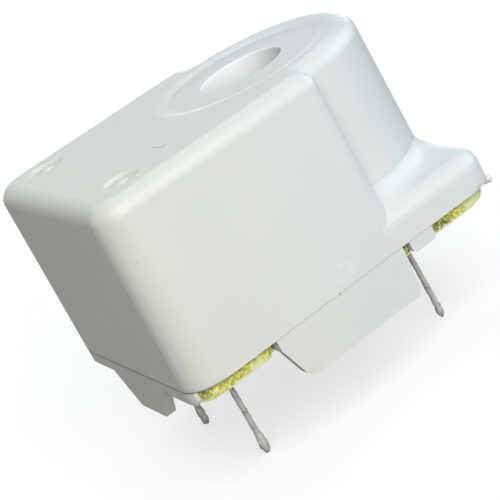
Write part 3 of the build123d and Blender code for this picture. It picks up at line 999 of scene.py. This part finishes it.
# %% Uneven tin on the pin
rings = [pin_low.z + (0.12 + 0.16 * step) * MM for step in range(44)]
cut_across(pin, everywhere, upright, rings)
bead_height = 1.2 * MM
lumps = bpy.data.textures.new("tin_lumps", "CLOUDS")
lumps.noise_scale = 0.18 * MM
lumps.noise_depth = 2
lumpy = pin.vertex_groups.new(name="lumps")
for point in pin.data.vertices:
    in_bead = point.co.z - pin_low.z < bead_height
    lumpy.add([point.index], 1.0 if in_bead else 0.35, "REPLACE")
uneven = pin.modifiers.new("tin", "DISPLACE")
uneven.texture = lumps
uneven.texture_coords = "LOCAL"
uneven.vertex_group = "lumps"
uneven.strength = 0.30 * MM
uneven.mid_level = 0.5
finish_modifiers(pin)
bpy.ops.object.shade_smooth()
print("pin:", len(pin.data.polygons), "faces")

# %% Four pins
def place_copy(piece, name, shift, turn, lean):
    """Copy a piece with its own mesh, turn it about its axis, lean it and move it."""
    copy = bpy.data.objects.new(name, piece.data.copy())
    bpy.context.scene.collection.objects.link(copy)
    select_only(copy)
    bpy.ops.object.mode_set(mode="EDIT")
    bpy.ops.mesh.select_all(action="SELECT")
    pivot = (pin_axis.x, pin_axis.y, board_low.z)
    bpy.ops.transform.rotate(value=turn, orient_axis="Z", center_override=pivot)
    bpy.ops.transform.rotate(value=lean[0], orient_axis="X", center_override=pivot)
    bpy.ops.transform.rotate(value=lean[1], orient_axis="Y", center_override=pivot)
    bpy.ops.transform.translate(value=shift)
    bpy.ops.object.mode_set(mode="OBJECT")
    return copy


def in_tip(corners):
    """Rule: a point of the bead or just above it."""
    return corners[0].z < tips + 1.3 * MM


# turn and lean about X and Y in radians, size of the bead, and a shift along X in mm
stances = {
    "front_left": (0.0, (0.000, 0.012), 1.0, 0.0),
    "front_right": (1.9, (0.004, 0.034), 0.80, -0.14),
    "back_left": (3.3, (-0.006, 0.008), 0.95, 0.0),
    "back_right": (4.6, (0.005, 0.012), 0.85, 0.0),
}
for corner, (turn, lean, bead_size, aside) in stances.items():
    low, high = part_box("pin_" + corner)
    axis = (low + high) / 2
    shift = Vector((axis.x - pin_axis.x + aside * MM, axis.y - pin_axis.y, 0))
    skin = place_copy(pin, "tinned_pin_" + corner, shift, turn, lean)
    scale_points(skin, in_tip, (bead_size, bead_size, 1), (axis.x, axis.y, tips))
    dress(skin, tin)
    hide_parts("pin_" + corner)
bpy.data.objects.remove(pin)
print("pins:", ", ".join(stances))

# %% One hollow solder joint
joint_low, joint_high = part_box("pin_solder_front_left")
joint_axis = (joint_low + joint_high) / 2
joint_height = joint_high.z - joint_low.z
joint = round_post("joint", joint_axis, joint_low.z, joint_high.z, (joint_high.x - joint_low.x) / 2)
depths = [0.12, 0.25, 0.4, 0.55, 0.7, 0.85, 1.0]
rings = [joint_high.z - share * joint_height for share in depths[:-1]]
cut_across(joint, everywhere, upright, rings)
for share in depths:
    factor = 0.42 + 0.58 * (1 - share) ** 2.2
    scale_ring(joint, joint_high.z - share * joint_height, joint_axis, factor)
bpy.ops.object.shade_smooth_by_angle(angle=math.radians(50))
print("joint:", len(joint.data.polygons), "faces")

# %% Nine joints
joint_nodes = sorted(name for name in nodes if "_solder_" in name)
joint_places = []
for number, name in enumerate(joint_nodes):
    low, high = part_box(name)
    axis = (low + high) / 2
    joint_places.append(axis)
    shift = Vector((axis.x - joint_axis.x, axis.y - joint_axis.y, 0))
    size = (high.x - low.x) / (joint_high.x - joint_low.x)
    copy = place_copy(joint, "joint_" + name, shift, 0.9 * number, (0.0, 0.0))
    scale_points(copy, everywhere, (size, size, 1), (axis.x, axis.y, joint_high.z))
    dress(copy, solder)
    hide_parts(name)
bpy.data.objects.remove(joint)
print("joints:", len(joint_nodes))

# %% [markdown]
# ## Copper side of the board
# Each joint sits on a round copper pad, and tracks run between the pads. Dipping has coated them
# with tin, so they stand out as low rounded ridges. A pad is a cylinder with a rounded rim, copied
# to every joint. A track is a spline of straight runs with a round bevel, flattened onto the board.

# %% Pads
pad_radius = 0.85 * MM
pad_place = joint_places[0]
pad = round_post(
    "pad", pad_place, board_low.z - 0.06 * MM, board_low.z + 0.05 * MM, pad_radius, 28
)
bevel_edges(pad, lambda corners: all(corner.z < board_low.z for corner in corners), 0.05 * MM)
copper = [pad]
for joint_place in joint_places[1:]:
    copy = bpy.data.objects.new("pad_copy", pad.data.copy())
    bpy.context.scene.collection.objects.link(copy)
    shift = (joint_place.x - pad_place.x, joint_place.y - pad_place.y, 0)
    move_points(copy, everywhere, shift)
    copper.append(copy)
print("pads:", len(copper))

# %% Tracks
tracks = [
    [(-7.5, -4.45), (-7.5, -4.8), (-7.55, -5.2), (-7.57, -5.6), (-7.57, -5.9)],
    [(-6.3, -5.9), (-6.3, -4.4), (-6.3, -3.0), (-5.83, -2.4), (-5.83, -1.5)],
    [(-5.03, -5.9), (-3.0, -5.9), (1.2, -3.2), (5.5, -3.2), (7.5, -4.45)],
    [(-5.83, 1.5), (-5.83, 2.4), (-6.4, 3.2), (-7.0, 3.9), (-7.5, 4.45)],
    [(-5.83, 1.5), (-3.0, 1.5), (0.5, 3.6), (5.0, 3.6), (7.5, 4.45)],
]
for line in tracks:
    track = round_line("track", line, board_low.z, 0.4 * MM, 3)
    track.data.splines[0].order_u = 2
    bpy.ops.object.convert(target="MESH")
    scale_points(track, everywhere, (1, 1, 0.12), board_bottom)
    copper.append(track)
select_only(pad)
for part in copper:
    part.select_set(True)
bpy.ops.object.join()
pad.name = "tinned_copper"
bpy.ops.object.shade_smooth_by_angle(angle=math.radians(40))
dress(pad, tin)
print("copper side:", len(pad.data.polygons), "faces")

# %% [markdown]
# ## The parts inside
# The solids inside are right as they are and keep their meshes. Each gets the finish of what it is:
# rolled brass, fired ceramic with its silver, dark ferrite, wound copper, insulated leads.

# %% Give a finish to CAD nodes
def finish_nodes(material, names):
    """Assign a material to every slot of some CAD nodes."""
    for name in names:
        for slot in nodes[name].material_slots:
            slot.material = material
    print(material.name, "on", len(names), "solids")


finish_nodes(solder, [name for name in nodes if "_bead_" in name])
finish_nodes(tin, [name for name in nodes if name.startswith(("coil_pin", "transistor_leg"))])

# %% Brass plate
brass, tree, shader, place = begin_material("brass_plate", (0.58, 0.44, 0.20), 0.4, 1.0)
rolled = add_node(tree, "ShaderNodeMapping", {"Vector": place, "Scale": (0.05, 1.0, 1.0)}).outputs[0]
lines = noise(tree, rolled, 9000.0, 3.0)
streaks = remap(tree, lines, 0.3, 0.7)
tint(tree, shader, streaks, (0.48, 0.35, 0.15, 1), (0.62, 0.48, 0.25, 1))
vary_gloss(tree, shader, lines, 0.34, 0.52)
bump(tree, shader, lines, 0.000006)
finish_nodes(brass, ["piezo_plate"])

# %% Ceramic with its silver face
ceramic, tree, shader, place = begin_material("piezo_ceramic", (0.62, 0.58, 0.46), 0.5)
fired = noise(tree, place, 4000.0, 4.0)
silver_radius = (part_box("piezo_ceramic")[1].x - chamber.x) - 0.5 * MM
disc = {"Vector": from_chamber_axis(tree, place), "Radius": silver_radius, "Softness": 0.01}
silver = use_group(tree, spot, disc).outputs["Mask"]
mottle = remap(tree, fired, 0.3, 0.7)
body = mix_colours(tree, mottle, (0.56, 0.52, 0.40, 1), (0.66, 0.62, 0.50, 1))
tint(tree, shader, silver, body, (0.78, 0.78, 0.76, 1))
tree.links.new(remap(tree, silver, 0.0, 1.0, 0.0, 0.7), shader.inputs["Metallic"])
vary_gloss(tree, shader, fired, 0.38, 0.55)
bump(tree, shader, fired, 0.000006)
finish_nodes(ceramic, ["piezo_ceramic"])

# %% Silicone
silicone, tree, shader, place = begin_material("silicone", (0.80, 0.81, 0.80), 0.4)
ripple = noise(tree, place, 1200.0, 3.0)
tint(tree, shader, ripple, (0.76, 0.77, 0.76, 1), (0.84, 0.85, 0.84, 1))
bump(tree, shader, ripple, 0.00003)
finish_nodes(silicone, ["disc_seal"])

# %% Ferrite
ferrite, tree, shader, place = begin_material("ferrite", (0.06, 0.06, 0.065), 0.55)
pores = noise(tree, place, 5000.0, 4.0, 0.7)
tint(tree, shader, pores, (0.04, 0.04, 0.045, 1), (0.10, 0.10, 0.105, 1))
vary_gloss(tree, shader, pores, 0.42, 0.68)
bump(tree, shader, pores, 0.00002)
finish_nodes(ferrite, ["coil_core"])

# %% Wound wire
wire, tree, shader, place = begin_material("enamelled_wire", (0.50, 0.20, 0.07), 0.25, 0.8)
winding = {"Vector": place, "Scale": 1600.0, "Distortion": 0.6}
turns = add_node(tree, "ShaderNodeTexWave", winding, bands_direction="Z").outputs["Fac"]
tint(tree, shader, turns, (0.28, 0.09, 0.03, 1), (0.62, 0.27, 0.10, 1))
bump(tree, shader, turns, 0.00005)
finish_nodes(wire, ["coil_winding"])

# %% Leads
def insulation(name, colour):
    """Extruded insulation with a slightly uneven gloss."""
    material, tree, shader, place = begin_material(name, colour, 0.35)
    drawn = noise(tree, place, 1500.0, 2.0)
    deep = tuple(0.7 * part for part in colour)
    tint(tree, shader, drawn, (*deep, 1), (*colour, 1))
    vary_gloss(tree, shader, drawn, 0.28, 0.45)
    return material


finish_nodes(insulation("lead_black", (0.03, 0.03, 0.03)), ["plate_lead"])
finish_nodes(insulation("lead_red", (0.55, 0.04, 0.03)), ["drive_lead"])
finish_nodes(insulation("lead_blue", (0.05, 0.14, 0.48)), ["feedback_lead"])

# %% Transistor and chips
def filled_resin(name, light, dark, roughness):
    """Moulded or glazed dark body with fine grains of filler."""
    material, tree, shader, place = begin_material(name, light, roughness)
    filler = noise(tree, place, 6000.0, 4.0, 0.7)
    tint(tree, shader, filler, (*dark, 1), (*light, 1))
    vary_gloss(tree, shader, filler, roughness - 0.08, roughness + 0.1)
    bump(tree, shader, filler, 0.00001)
    return material


transistor_black = filled_resin("moulded_black", (0.05, 0.05, 0.05), (0.02, 0.02, 0.02), 0.5)
finish_nodes(transistor_black, ["transistor_body"])
chips = [name for name in nodes if name.startswith("resistor_")]
glaze = filled_resin("resistor_glaze", (0.07, 0.07, 0.08), (0.03, 0.03, 0.035), 0.25)
finish_nodes(glaze, [name for name in chips if name.endswith("_body")])

# %% Tinned caps of the chips
cap_tin, tree, shader, place = begin_material("tinned_cap", (0.70, 0.70, 0.69), 0.35, 0.9)
matt = use_group(tree, tarnish, {"Vector": place, "Scale": 4000.0, "Share": 0.5})
tint(tree, shader, matt.outputs["Mask"], (0.74, 0.74, 0.73, 1), (0.58, 0.58, 0.57, 1))
bump(tree, shader, matt.outputs["Height"], 0.00001)
finish_nodes(cap_tin, [name for name in chips if "_cap_" in name])
